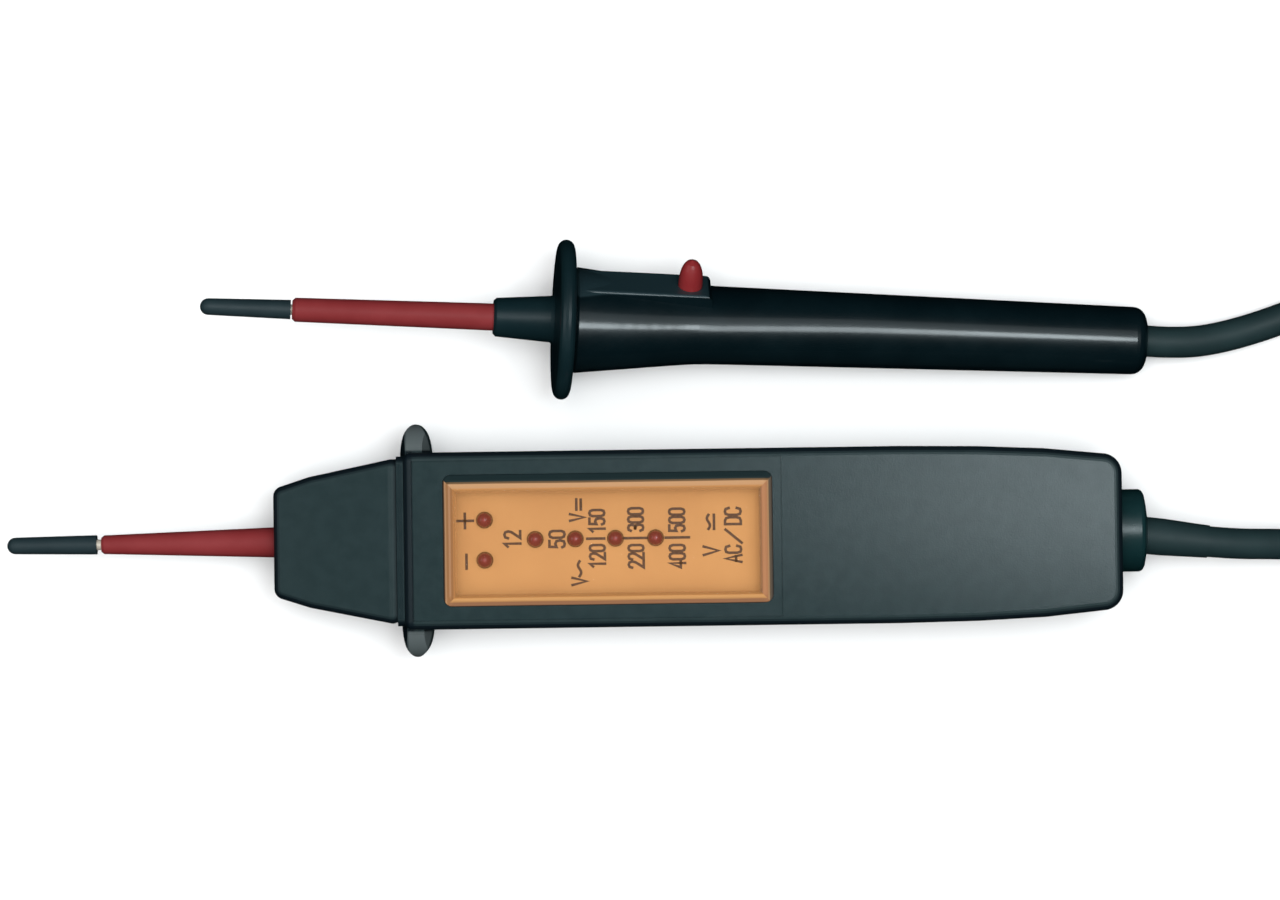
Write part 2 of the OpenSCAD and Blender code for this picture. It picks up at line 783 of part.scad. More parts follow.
// An axial resistor along X on bent leads
module resistor() {
    l = 8.4;
    lift = 2;
    color([0.75, 0.62, 0.42]) {
        translate([0, 0, lift]) turned([
            [-l / 2, 0], [-l / 2, 1.2], [-l / 2 + 0.6, 1.6], [-l / 2 + 1.8, 1.6], [-l / 2 + 2.4, 1.3],
            [l / 2 - 2.4, 1.3], [l / 2 - 1.8, 1.6], [l / 2 - 0.6, 1.6], [l / 2, 1.2], [l / 2, 0]
        ]);
        for (s = [-1, 1]) {
            translate([s * (l / 2 + 1), 0, 0]) cylinder(d = lead_d, h = lift + lead_d / 2, $fn = 16);
            translate([0, 0, lift]) rod_x(s > 0 ? l / 2 - 0.2 : -l / 2 - 1.2, lead_d / 2, 1.4);
        }
    }
}

module series_resistors() {
    for (i = [-1.5 : 1.5]) translate([resistor_x, i * resistor_pitch, board_top]) resistor();
}

// Test pin, sleeve, cap and terminal of the display unit

module test_pin(x, l) {
    color(metal) turned([[0, 0], [1.6, pin_d / 2], [l, pin_d / 2], [l, 0]], x);
}

module tip_cap(x) {
    tip_r = cap_tip_d / 2;
    color(black_plastic) difference() {
        turned(concat(
            [for (a = [0 : 15 : 90]) [tip_r * (1 - cos(a)), tip_r * sin(a)]],
            [[cap_l, cap_end_d / 2], [cap_l, 0]]
        ), x);
        rod_x(x + tip_inside - 0.4, pin_d / 2 + slide_gap, cap_l);
    }
}

module main_tip_cap() {
    translate([0, 0, axis_z]) tip_cap(-tip_x);
}

module main_pin() {
    start = -main_sleeve_l - pin_out;
    translate([0, 0, axis_z]) test_pin(start, terminal_x + terminal_l - 1 - start);
}

module main_sleeve() {
    tip_r = main_sleeve_tip_d / 2;
    stop_r = sleeve_stop_d / 2;
    stop_x = front_wall + fit_gap;
    color(red_plastic) translate([0, 0, axis_z]) difference() {
        turned([
            [-main_sleeve_l, 0], [-main_sleeve_l, tip_r - 0.4], [-main_sleeve_l + 0.5, tip_r],
            [-0.2, main_sleeve_d / 2], [stop_x, main_sleeve_d / 2], [stop_x, stop_r],
            [stop_x + sleeve_stop_t, stop_r], [stop_x + sleeve_stop_t, main_sleeve_d / 2 - 0.4],
            [sleeve_in, main_sleeve_d / 2 - 0.4], [sleeve_in, 0]
        ]);
        rod_x(-main_sleeve_l - 1, pin_d / 2 + 0.02, main_sleeve_l + sleeve_in + 2);
    }
}

module pin_terminal() {
    color(brass) difference() {
        translate([terminal_x, -terminal_w / 2, axis_z - terminal_w / 2])
            cube([terminal_l, terminal_w, terminal_w]);
        translate([0, 0, axis_z]) rod_x(terminal_x - 1, pin_d / 2 + 0.02, terminal_l + 2);
        translate([terminal_x + terminal_l / 2, 0, axis_z]) cylinder(d = grub_d, h = terminal_w);
    }
}

module terminal_screw() {
    low = pin_d / 2 + 0.05;
    color(metal) translate([terminal_x + terminal_l / 2, 0, axis_z + low]) difference() {
        cylinder(d = grub_d - 0.04, h = terminal_w / 2 - low - 0.2);
        translate([-grub_d / 2 - 1, -0.25, terminal_w / 2 - low - 0.9]) cube([grub_d + 2, 0.5, 2]);
    }
}

// Cable entry of the display unit

module cable_gland() {
    inner = housing_l - wall - gland_flange_t - fit_gap;
    outer = housing_l + gland_l;
    color(black_plastic) translate([0, 0, axis_z]) difference() {
        turned([
            [inner, 0], [inner, gland_flange_r], [inner + gland_flange_t, gland_flange_r],
            [inner + gland_flange_t, gland_neck_r], [housing_l + fit_gap, gland_neck_r],
            [housing_l + fit_gap, gland_d / 2], [outer - 1.4, gland_d / 2],
            [outer - 0.9, gland_d / 2 - 0.25], [outer - 0.55, gland_d / 2 - 0.8],
            [outer - 0.3, gland_d / 2 - 2], [outer, gland_d / 4], [outer, 0]
        ]);
        translate([0, gland_offset, 0]) {
            rod_x(inner - 1, cable_d / 2 + cable_gap, outer - inner + 2);
            rod_x(outer - boot_recess, boot_r + 0.3, boot_recess + 1);
        }
    }
}

// A rubber boot stretched over the cable, its root in the gland's recess
module cable_boot() {
    color(black_plastic) translate([housing_l + gland_l, gland_offset, axis_z])
        rotate([0, boot_drop, -boot_tilt]) difference() {
            turned([
                [-boot_in, 0], [-boot_in, boot_r], [boot_l / 4, boot_r],
                [boot_l, boot_end_r], [boot_l, 0]
            ]);
            rod_x(-boot_in - 1, cable_d / 2 - 0.05, boot_l + boot_in + 2);
        }
}

// A strap over the cable, flat on its two posts
module cable_clamp() {
    arch_r = cable_d / 2 + cable_gap;
    reach = clamp_post_y + post_r;
    color([0.8, 0.8, 0.76]) difference() {
        translate([clamp_x - clamp_l / 2, gland_offset, 0]) rotate([90, 0, 90]) linear_extrude(clamp_l)
            difference() {
                union() {
                    translate([-reach, clamp_z]) square([2 * reach, clamp_bar_t]);
                    translate([0, axis_z]) circle(r = arch_r + 1.3);
                }
                translate([0, axis_z]) circle(r = arch_r);
                translate([-reach, 0]) square([2 * reach, clamp_z]);
                translate([-arch_r, 0]) square([2 * arch_r, axis_z]);
            }
        for (p = clamp_posts) translate([p[0], p[1], clamp_z - 1]) cylinder(d = small_screw_d + 0.3, h = 6);
    }
}

module clamp_screws() {
    color(metal) for (p = clamp_posts) translate([p[0], p[1], clamp_z + clamp_bar_t + small_head_t])
        rotate([180, 0, 0]) tapping_screw(small_screw_d, small_head_d, small_head_t, small_screw_l);
}

module main_wires() {
    wire_r = 0.9;
    board_end = board_x + board_l;
    color([0.25, 0.2, 0.2]) {
        for (s = [-1, 1]) swept([
            [jacket_x - 0.2, gland_offset + s * 1.4, axis_z], [jacket_x - 4, gland_offset + s * 1.6, axis_z],
            [jacket_x - 9, s * 3, axis_z + 1], [board_end + 1, s * 4, board_top + 1.6],
            [board_end - 3, s * 4, board_top + wire_r + 0.1]
        ], wire_r);
        swept([
            [terminal_x + terminal_l + 0.1, -1.8, axis_z], [terminal_x + terminal_l + 5, -2.2, axis_z + 0.2],
            [board_x - 6, -4, board_top + 1.4], [board_x + 1.2, -4.6, board_top + wire_r + 0.1]
        ], wire_r);
    }
}

// Probe, along its own axis

module probe_tip_cap() {
    tip_cap(0);
}

module probe_pin() {
    start = sleeve_x - pin_out;
    test_pin(start, guard_back + 5 - start);
}

module probe_sleeve() {
    tip_r = probe_sleeve_tip_d / 2;
    end = guard_back - 1;
    color(red_plastic) difference() {
        turned([
            [sleeve_x, 0], [sleeve_x, tip_r - 0.5], [sleeve_x + 0.6, tip_r],
            [collar_x, probe_sleeve_d / 2], [end, probe_sleeve_d / 2], [end, 0]
        ]);
        rod_x(sleeve_x - 1, pin_d / 2 + 0.02, end - sleeve_x + 2);
    }
}

// Collar, slightly domed disc with a rounded rim, and the spigot that plugs into the handle
module probe_guard() {
    ring_r = guard_d / 2 - rim_r;
    color(black_plastic) difference() {
        turned(concat(
            [
                [collar_x, 0], [collar_x, collar_tip_d / 2 - 0.5], [collar_x + 0.5, collar_tip_d / 2],
                [hub_x - 0.8, collar_d / 2], [hub_x - 0.2, collar_d / 2 + 0.2], [hub_x, collar_d / 2 + 0.8],
                [hub_x + guard_dome / 3, ring_r * 0.75]
            ],
            [for (a = [190 : -20 : 10]) [guard_x + rim_r * cos(a), ring_r + rim_r * sin(a)]],
            [
                [guard_back, ring_r], [guard_back, spigot_r - fit_gap],
                [guard_back + spigot_l - 0.5, spigot_r - fit_gap],
                [guard_back + spigot_l, spigot_r - fit_gap - 0.5], [guard_back + spigot_l, 0]
            ]
        ));
        rod_x(collar_x - 1, probe_sleeve_d / 2 + fit_gap, guard_back - collar_x);
        rod_x(guard_back - 1.5, pin_d / 2 + 1.2, 3.5);
        rod_x(guard_back + 1.5, 3.1, spigot_l);
    }
}

module probe_terminal() {
    x = guard_back + 1.6;
    color(brass) difference() {
        turned([[x, 0], [x, 3], [x + spigot_l - 1, 3], [x + spigot_l - 0.4, 2.4], [x + spigot_l - 0.4, 0]]);
        rod_x(x - 1, pin_d / 2 + 0.02, 5.6);
    }
}

// The flare is a cone that runs out softly into the handle's long taper
function flare(x) = let (t = 1 - x / flare_l) flare_r * (t + sqrt(t * t + 0.01)) / 2;
function handle_radius(x) = handle_r - (handle_r - handle_rear_r) * x / handle_l + flare(x);

// The round part: a flare, a long straight taper and a rounded rear edge
module handle_body() {
    front_edge = 0.4;
    rear_ring = handle_rear_r - handle_edge_r;
    stations = [front_edge, for (k = [1 : 12]) k * flare_l / 9];
    turned(concat(
        [[0, 0], [0, handle_radius(0) - front_edge]],
        [for (x = stations) [x, handle_radius(x)]],
        [for (a = [90 : -15 : 0])
            [handle_l - handle_edge_r + handle_edge_r * cos(a), rear_ring + handle_edge_r * sin(a)]],
        [[handle_l, 0]]
    ), handle_x);
}

// The flat pad that carries the button slopes down to the rear: side and end outlines cut each other
module handle_pad() {
    slope = atan((pad_front_r - pad_r) / pad_l);
    half = pad_w / 2 - pad_edge_r;
    start = 0.1;
    bevel = 0.4;
    translate([handle_x, 0, 0]) rotate([button_roll - 90, 0, 0])
        translate([0, 0, pad_front_r]) rotate([0, slope, 0]) intersection() {
            rotate([90, 0, 0]) translate([0, 0, -pad_w / 2]) linear_extrude(pad_w) polygon(concat(
                [[start, -pad_front_r], [start, -bevel], [start + bevel, 0]],
                [for (a = [90 : -15 : 0]) [pad_l + pad_drop_r * (cos(a) - 1), pad_drop_r * (sin(a) - 1)]],
                [[pad_l, -pad_front_r]]
            ));
            rotate([90, 0, 90]) linear_extrude(pad_l) polygon(concat(
                [[-pad_w / 2, -pad_front_r]],
                [for (a = [180 : -18 : 90]) [-half + pad_edge_r * cos(a), pad_edge_r * (sin(a) - 1)]],
                [for (a = [90 : -18 : 0]) [half + pad_edge_r * cos(a), pad_edge_r * (sin(a) - 1)]],
                [[pad_w / 2, -pad_front_r]]
            ));
        }
}

module probe_handle() {
    color(gloss_black) difference() {
        union() {
            handle_body();
            handle_pad();
        }
        rod_x(handle_x - 1, spigot_r, spigot_l + 1.8);
        rod_x(handle_x + spigot_l, chamber_r, chamber_end - handle_x - spigot_l);
        rod_x(chamber_end - 1, tube_r, handle_end - rear_wall - chamber_end + 1);
        rod_x(handle_end - rear_wall - 1, cable_d / 2 + cable_gap, rear_wall + 2);
        button_frame() {
            cylinder(r = button_d / 2 + slide_gap, h = pad_front_r + 1);
            cylinder(r = button_flange_r + 0.2, h = button_stop + 0.05);
        }
    }
}

module push_button() {
    stem_low = button_stop - button_flange_t;
    color([0.57, 0.19, 0.19]) button_frame() {
        rotate_extrude() polygon(concat(
            [
                [0, stem_low - button_foot], [button_foot_r, stem_low - button_foot],
                [button_foot_r, stem_low], [button_flange_r, stem_low],
                [button_flange_r, button_stop], [button_d / 2, button_stop]
            ],
            [for (k = [0 : 10]) let (t = k / 10)
                [button_d / 2 * pow(1 - pow(t, button_fullness), 0.5), pad_r + button_h * t]]
        ));
    }
}

module button_spring() {
    low = switch_top + spring_wire_r + 0.02;
    high = button_stop - button_flange_t - spring_wire_r - 0.02;
    steps = 12 * spring_turns;
    color(metal) button_frame() swept([
        for (i = [0 : steps]) let (a = i * 30)
            [spring_r * cos(a), spring_r * sin(a), low + (high - low) * i / steps]
    ], spring_wire_r, 6);
}

module push_switch() {
    color([0.12, 0.12, 0.13]) button_frame() {
        translate([-switch_w / 2, -switch_w / 2, switch_z]) cube([switch_w, switch_w, switch_top - switch_z]);
        cylinder(r = button_foot_r, h = plunger_top);
    }
}

module switch_board() {
    thickness = 1.2;
    width = 2 * sqrt(chamber_r * chamber_r - pow(thickness - switch_z, 2)) - 2 * fit_gap;
    start = guard_back + spigot_l + 2.6;
    color(board_green) rotate([button_roll - 90, 0, 0])
        translate([start, -width / 2, switch_z - thickness])
            cube([chamber_end - 0.3 - start, width, thickness]);
}

module probe_wires() {
    wire_r = 0.9;
    jacket_start = handle_end - 15;
    board_start = guard_back + spigot_l + 2.6;
    color([0.25, 0.2, 0.2]) rotate([button_roll - 90, 0, 0]) {
        swept([
            [guard_back + spigot_l + 1.3, 0, 0], [board_start + 1, 0, switch_z + wire_r + 0.2],
            [board_start + 4.5, 0, switch_z + wire_r + 0.1]
        ], wire_r);
        for (s = [-1, 1]) swept([
            [chamber_end - 4.2, s * 2.4, switch_z + wire_r + 0.1], [chamber_end + 2, s * 2.4, 0.4],
            [chamber_end + 20, s * 1.8, 0], [jacket_start - 12, s * 1.6, 0],
            [jacket_start - 0.2, s * 1.4, 0]
        ], wire_r);
    }
}

// A ring crimped on the cable inside the handle
module cable_clip() {
    l = 5;
    start = handle_end - rear_wall - l - 0.1;
    color(metal) difference() {
        turned([[0, 0], [0, tube_r - 0.6], [0.4, tube_r - fit_gap], [l, tube_r - fit_gap], [l, 0]], start);
        rod_x(start - 1, cable_d / 2 + cable_gap, l + 2);
    }
}

// Cable

module cable_run_probe() {
    color(black_plastic) swept(route_probe, cable_d / 2);
}

module cable_run_main() {
    color(black_plastic) swept(route_main, cable_d / 2);
}

module cable_coil() {
    color(black_plastic) translate([coil_centre[0], coil_centre[1], 0]) difference() {
        rotate_extrude($fn = 72)
            translate([coil_mid_r, coil_h / 2]) rounded_rect(coil_w, coil_h, cable_d / 2.4);
        translate([coil_mid_r - coil_w, -tie_w / 2 - 0.3, -1])
            cube([2 * coil_w, tie_w + 0.6, 1 + tie_t + 0.05]);
    }
}

// A flat band around the bundle with its square head on the outside
module cable_tie() {
    color([0.1, 0.1, 0.1]) translate([coil_centre[0] + coil_mid_r, coil_centre[1], 0]) {
        translate([0, tie_w / 2, tie_t + coil_h / 2]) rotate([90, 0, 0]) linear_extrude(tie_w) difference() {
            rounded_rect(coil_w + 2 * tie_t + 0.4, coil_h + 2 * tie_t, 0.6 + tie_t);
            rounded_rect(coil_w + 0.4, coil_h, 0.6);
        }
        translate([coil_w / 2 + 0.2 + tie_t / 2, -3, coil_h / 2]) cube([4, 6, 5]);
    }
}

display_unit() housing_top();
display_unit() housing_bottom();
display_unit() housing_screws();
display_unit() display_window();
display_unit() scale_plate();
display_unit() led_plus();
display_unit() led_minus();
display_unit() led_50();
display_unit() led_120();
display_unit() led_220();
display_unit() led_400();
display_unit() circuit_board();
display_unit() board_screws();
display_unit() driver_chip();
display_unit() capacitor();
display_unit() series_resistors();
display_unit() pin_terminal();
display_unit() terminal_screw();
display_unit() main_pin();
display_unit() main_sleeve();
display_unit() main_tip_cap();
display_unit() main_wires();
display_unit() cable_clamp();
display_unit() clamp_screws();
display_unit() cable_gland();
display_unit() cable_boot();
probe_unit() probe_tip_cap();
probe_unit() probe_pin();
probe_unit() probe_sleeve();
probe_unit() probe_guard();
probe_unit() probe_handle();
probe_unit() probe_terminal();
probe_unit() push_button();
probe_unit() button_spring();
probe_unit() push_switch();
probe_unit() switch_board();
probe_unit() probe_wires();
probe_unit() cable_clip();
cable_run_probe();
cable_coil();
cable_tie();
cable_run_main();
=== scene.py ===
import bpy
import math
import mathutils
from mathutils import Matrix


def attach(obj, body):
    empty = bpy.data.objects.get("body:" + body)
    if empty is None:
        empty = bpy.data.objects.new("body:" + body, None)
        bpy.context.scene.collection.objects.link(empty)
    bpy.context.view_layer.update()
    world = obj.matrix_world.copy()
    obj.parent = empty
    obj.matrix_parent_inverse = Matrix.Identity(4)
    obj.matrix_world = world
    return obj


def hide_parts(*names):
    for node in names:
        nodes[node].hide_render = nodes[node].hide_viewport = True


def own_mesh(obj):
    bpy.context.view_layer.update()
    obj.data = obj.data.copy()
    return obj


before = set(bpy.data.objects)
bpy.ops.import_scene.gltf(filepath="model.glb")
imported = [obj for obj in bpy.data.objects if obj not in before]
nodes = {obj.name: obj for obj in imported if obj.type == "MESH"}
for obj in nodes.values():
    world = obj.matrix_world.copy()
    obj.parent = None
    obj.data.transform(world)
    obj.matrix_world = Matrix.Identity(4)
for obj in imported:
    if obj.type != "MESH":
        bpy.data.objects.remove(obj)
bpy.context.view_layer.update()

# Places and sizes are in mm, times MM where Blender takes metres
MM = 0.001

# Where places on the display unit are measured from: the front face of its housing, and its axis
UNIT_X = -57.996
UNIT_Y = -17.45
# The probe's guard on its axis, and the direction in which its button stands out
GUARD_AT = (-2.296, 24.35, 15.256)
BUTTON_OUT = (0.087041, 0.795333, 0.599891)


def unit(x, y, z):
    """A place on the display unit: behind its housing's front face, beside its axis and above the floor."""
    return ((UNIT_X + x) * MM, (UNIT_Y + y) * MM, z * MM)


def add_object(name, data):
    obj = bpy.data.objects.new(name, data)
    bpy.context.scene.collection.objects.link(obj)
    return obj


# Camera, straight above as in the photograph, turned by the photograph's small tilt

# Its place in metres and its turn in degrees
CAMERA_AT = (0.01195, -0.00074, 1.02)
CAMERA_TURN = -0.8

cam_data = bpy.data.cameras.new("camera")
cam_data.lens = 148.0
cam_data.sensor_width = 36.0
cam_data.clip_start = 0.01
cam_data.clip_end = 20.0
camera = add_object("camera", cam_data)
camera.location = CAMERA_AT
camera.rotation_euler = (0.0, 0.0, math.radians(CAMERA_TURN))
bpy.context.scene.camera = camera
bpy.context.scene.view_settings.view_transform = "Standard"

# Cable: one curve from the probe through the coil to the display unit

CABLE_D = 6.0
ROUTE_PROBE = [
    (109.4, 18.9, 6.3), (114.3, 18.6, 5.9), (119.3, 18.7, 5.2), (124, 19.4, 4.4), (129, 20.6, 3.7),
    (134.5, 22.3, 3.3), (142, 25, 3.1), (152, 28.9, 3.1), (162, 32.8, 3.1), (172, 37, 3.1), (182, 42, 3.1),
]
ROUTE_MAIN = [
    (199, -21, 9.1), (190, -21, 8.1), (182, -21, 6.2), (174, -21, 4.3), (167, -21, 3.3), (160, -21, 3.2),
    (153, -20.9, 3.9), (146, -20.8, 5.2), (139, -20.7, 7), (133, -20.5, 8.8), (126.5, -20.3, 10.5),
    (120.5, -19.8, 11.6), (114.5, -19.1, 11.8), (108.6, -18.45, 12), (101.6, -18.45, 12), (94.8, -18.45, 12),
]
# The coil's centre and the radius of its outer turns; the inner turns are one cable smaller
COIL_CENTRE = (211, 16)
COIL_R = 37
# Height of the cable's middle in the lower layer, the step to the upper layer, and the hump over the tie
LOWER_LAYER = 3.1
LAYER_STEP = 6.1
TIE_HUMP = 0.85
# Degrees wound where the cable goes inwards, upwards and outwards again, and the degrees that a change takes
INWARDS_AT, UPWARDS_AT, OUTWARDS_AT = 325, 630, 940
CHANGE = 60
# Degrees wound where the coil meets the tie, how far from it the hump starts, and how long its slope is
TIE_AT = 140
HUMP_FROM = 30
HUMP_SLOPE = 18
# First point, step in degrees and number of points
COIL_START, COIL_STEP, COIL_POINTS = 20, 15, 87


def smooth(t):
    t = min(1.0, max(0.0, t))
    return t * t * (3 - 2 * t)


def coil_point(wound):
    """A point of the coil, by the degrees wound clockwise as seen from above."""
    r = COIL_R - CABLE_D * smooth((wound - INWARDS_AT) / CHANGE)
    r += CABLE_D * smooth((wound - OUTWARDS_AT) / CHANGE)
    z = LOWER_LAYER + LAYER_STEP * smooth((wound - UPWARDS_AT) / CHANGE)
    from_tie = (wound - TIE_AT + 180) % 360 - 180
    z += TIE_HUMP * smooth((HUMP_FROM - abs(from_tie)) / HUMP_SLOPE)
    angle = math.radians(TIE_AT - wound)
    return (COIL_CENTRE[0] + r * math.cos(angle), COIL_CENTRE[1] + r * math.sin(angle), z)


coil = [coil_point(COIL_START + COIL_STEP * i) for i in range(COIL_POINTS)]
route = ROUTE_PROBE + coil + ROUTE_MAIN


def curve_object(name, points, radius):
    """A round cord on a smooth curve through the points."""
    data = bpy.data.curves.new(name, "CURVE")
    data.dimensions = "3D"
    data.resolution_u = 6
    data.bevel_depth = 1.0  # times each point's radius, which the curve's box counts too
    data.bevel_resolution = 5
    data.use_fill_caps = True
    spline = data.splines.new("BEZIER")
    spline.bezier_points.add(len(points) - 1)
    at = [mathutils.Vector(co) * MM for co in points]
    for i, p in enumerate(spline.bezier_points):
        before, after = at[max(i - 1, 0)], at[min(i + 1, len(at) - 1)]
        along = (after - before).normalized()
        p.handle_left_type = p.handle_right_type = "FREE"
        p.co = at[i]
        p.radius = radius * MM
        p.handle_left = at[i] - along * (at[i] - before).length / 3
        p.handle_right = at[i] + along * (after - at[i]).length / 3
    return add_object(name, data)


cable = curve_object("cable", route, CABLE_D / 2)
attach(cable, "root")
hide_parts("cable_run_probe", "cable_coil", "cable_run_main")

# Materials


def rgb(r, g, b):
    """A colour given as it looks on screen, 0 to 255."""
    linear = []
    for v in (r, g, b):
        v /= 255
        linear.append(v / 12.92 if v <= 0.04045 else ((v + 0.055) / 1.055) ** 2.4)
    return (*linear, 1.0)


def grey(v):
    return (v, v, v, 1.0)


class Mat:
    """A node material: object coordinates in metres feed noises and masks, which feed the shader."""

    def __init__(self, name, **sockets):
        self.mat = bpy.data.materials.new(name)
        self.mat.use_nodes = True
        self.tree = self.mat.node_tree
        self.tree.nodes.clear()
        self.shader = self.node("ShaderNodeBsdfPrincipled")
        self.link(self.shader.outputs[0], self.node("ShaderNodeOutputMaterial").inputs[0])
        self.coord = self.node("ShaderNodeTexCoord").outputs["Object"]
        self.normal = None
        for key, value in sockets.items():
            self.shader.inputs[key.replace("_", " ")].default_value = value

    def node(self, kind):
        return self.tree.nodes.new(kind)

    def link(self, a, b):
        self.tree.links.new(a, b)

    def feed(self, value, socket):
        """Links the output of a node to a socket, or sets the socket to a plain value."""
        if isinstance(value, bpy.types.NodeSocket):
            self.link(value, socket)
        else:
            socket.default_value = value

    def fed(self, key):
        """The output that feeds a socket of the shader so far."""
        return self.shader.inputs[key].links[0].from_socket

    def noise(self, scale, detail=2.0, rough=0.5, stretch=None):
        n = self.node("ShaderNodeTexNoise")
        n.inputs["Scale"].default_value = scale
        n.inputs["Detail"].default_value = detail
        n.inputs["Roughness"].default_value = rough
        source = self.coord
        if stretch:
            m = self.node("ShaderNodeMapping")
            m.inputs["Scale"].default_value = stretch
            self.link(source, m.inputs["Vector"])
            source = m.outputs[0]
        self.link(source, n.inputs["Vector"])
        return n.outputs["Fac"]

    def ramp(self, source, stops, smooth_steps=True):
        """Colours by the value of the source, each stop a position and its colour."""
        r = self.node("ShaderNodeValToRGB")
        r.color_ramp.interpolation = "EASE" if smooth_steps else "LINEAR"
        elements = r.color_ramp.elements
        while len(elements) < len(stops):
            elements.new(0.5)
        for element, (position, color) in zip(elements, stops):
            element.position = position
            element.color = color
        self.link(source, r.inputs[0])
        return r.outputs[0]

    def mask(self, source, stops, smooth_steps=False):
        """A ramp of greys."""
        return self.ramp(source, [(position, grey(v)) for position, v in stops], smooth_steps)

    def span(self, source, low, high, from_low=0.3, from_high=0.7, kind="LINEAR"):
        """Brings the source from one range to another: noises stay mostly between 0.3 and 0.7."""
        m = self.node("ShaderNodeMapRange")
        m.interpolation_type = kind
        m.inputs["From Min"].default_value = from_low
        m.inputs["From Max"].default_value = from_high
        m.inputs["To Min"].default_value = low
        m.inputs["To Max"].default_value = high
        self.link(source, m.inputs["Value"])
        return m.outputs[0]

    def mix(self, share, a, b):
        m = self.node("ShaderNodeMix")
        m.data_type = "RGBA"
        for value, socket in ((share, m.inputs[0]), (a, m.inputs[6]), (b, m.inputs[7])):
            self.feed(value, socket)
        return m.outputs[2]

    def math(self, kind, *values):
        m = self.node("ShaderNodeMath")
        m.operation = kind
        for value, socket in zip(values, m.inputs):
            self.feed(value, socket)
        return m.outputs[0]

    def vector(self, kind, *values):
        m = self.node("ShaderNodeVectorMath")
        m.operation = kind
        for value, socket in zip(values, m.inputs):
            self.feed(value, socket)
        return m.outputs["Value" if kind in ("DOT_PRODUCT", "LENGTH") else "Vector"]

    def split(self, vector):
        m = self.node("ShaderNodeSeparateXYZ")
        self.link(vector, m.inputs[0])
        return m.outputs

    def combine(self, x, y, z):
        m = self.node("ShaderNodeCombineXYZ")
        for value, socket in zip((x, y, z), m.inputs):
            self.feed(value, socket)
        return m.outputs[0]

    def color(self, socket):
        self.link(socket, self.shader.inputs["Base Color"])

    def rough(self, socket):
        self.link(socket, self.shader.inputs["Roughness"])

    def surface_normal(self):
        return self.node("ShaderNodeNewGeometry").outputs["Normal"]

    def facing_up(self, low, high):
        """0 to 1 between two heights of the surface normal: 1 is a flat top and 0 an upright face."""
        return self.span(self.split(self.surface_normal())[2], 0.0, 1.0, low, high)

    def behind_front(self, start, end):
        """0 to 1 between two places behind the front face of the display unit's housing."""
        return self.span(self.split(self.coord)[0], 0.0, 1.0, (UNIT_X + start) * MM, (UNIT_X + end) * MM)

    def mask_behind_front(self, stops, smooth_steps=False):
        """A ramp of greys by such places."""
        start, end = stops[0][0], stops[-1][0]
        fractions = [((x - start) / (end - start), v) for x, v in stops]
        return self.mask(self.behind_front(start, end), fractions, smooth_steps)

    def crown(self, bend, lean_along):
        """Tilts the normal outwards on both sides of the display unit's axis, as on a slightly domed top.

        lean_along says by place how much the normal may lean along the unit.
        """
        lean = self.vector("MULTIPLY_ADD", self.coord, (0, bend, 0), (0, -UNIT_Y * MM * bend, 0))
        kept = self.combine(self.mask_behind_front(lean_along, smooth_steps=True), 1.0, 1.0)
        normal = self.vector("MULTIPLY", self.surface_normal(), kept)
        self.normal = self.vector("NORMALIZE", self.vector("ADD", lean, normal))

    def lean_sideways(self, most, start_x, end_x):
        """Tilts the normal towards +Y, which fades out between two places along X."""
        lean = self.span(self.split(self.coord)[0], most, 0.0, start_x * MM, end_x * MM, kind="SMOOTHSTEP")
        tilted = self.vector("ADD", self.combine(0.0, lean, 0.0), self.surface_normal())
        self.normal = self.vector("NORMALIZE", tilted)

    def bump(self, height, strength, distance):
        b = self.node("ShaderNodeBump")
        b.inputs["Strength"].default_value = strength
        b.inputs["Distance"].default_value = distance
        self.link(height, b.inputs["Height"])
        if self.normal is not None:
            self.link(self.normal, b.inputs["Normal"])
        self.link(b.outputs[0], self.shader.inputs["Normal"])
        if self.shader.inputs["Coat Weight"].default_value:
            self.link(b.outputs[0], self.shader.inputs["Coat Normal"])


# How much the housing's normal leans along the unit, by place: the rounded edges of the joint between nose
# and body count as level, so that no light line shows on them
LEAN_ALONG = [(21.8, 1), (22.2, 0), (23.5, 0), (23.65, 1), (25.7, 1), (25.8, 0), (26.9, 0), (27.2, 1)]
# Near the guard the handle's section isn't quite round: where its normal's lean starts to fade, and ends
HANDLE_FADE = (8, 60)


def moulded(
        name, low, high, rough, grain, depth,
        spec=0.5, coat=0.0, coat_rough=0.12, cloud=90, crown=0.0, lean=0.0):
    """Moulded plastic: two close tones in soft clouds, uneven gloss and a fine grain, its depth in metres."""
    m = Mat(name, Specular_IOR_Level=spec, Coat_Weight=coat, Coat_Roughness=coat_rough)
    if crown:
        m.crown(crown, LEAN_ALONG)
    if lean:
        m.lean_sideways(lean, *HANDLE_FADE)
    m.color(m.ramp(m.noise(cloud, detail=4, rough=0.55), [(0.3, low), (0.7, high)]))
    m.rough(m.span(m.noise(260, detail=3, rough=0.6), *rough))
    m.bump(m.noise(grain, rough=0.6), strength=0.6, distance=depth)
    return m


# Housing: a slightly domed top, painted shade on its rounded edges, painted light on its sides, the dark
# joint behind the nose with painted shade there, and painted sheen on the ears

housing = moulded(
    "housing_plastic", rgb(25, 40, 42), rgb(29, 44, 46), (0.19, 0.22), 3200, 0.00002,
    spec=0.38, cloud=380, crown=2.5)
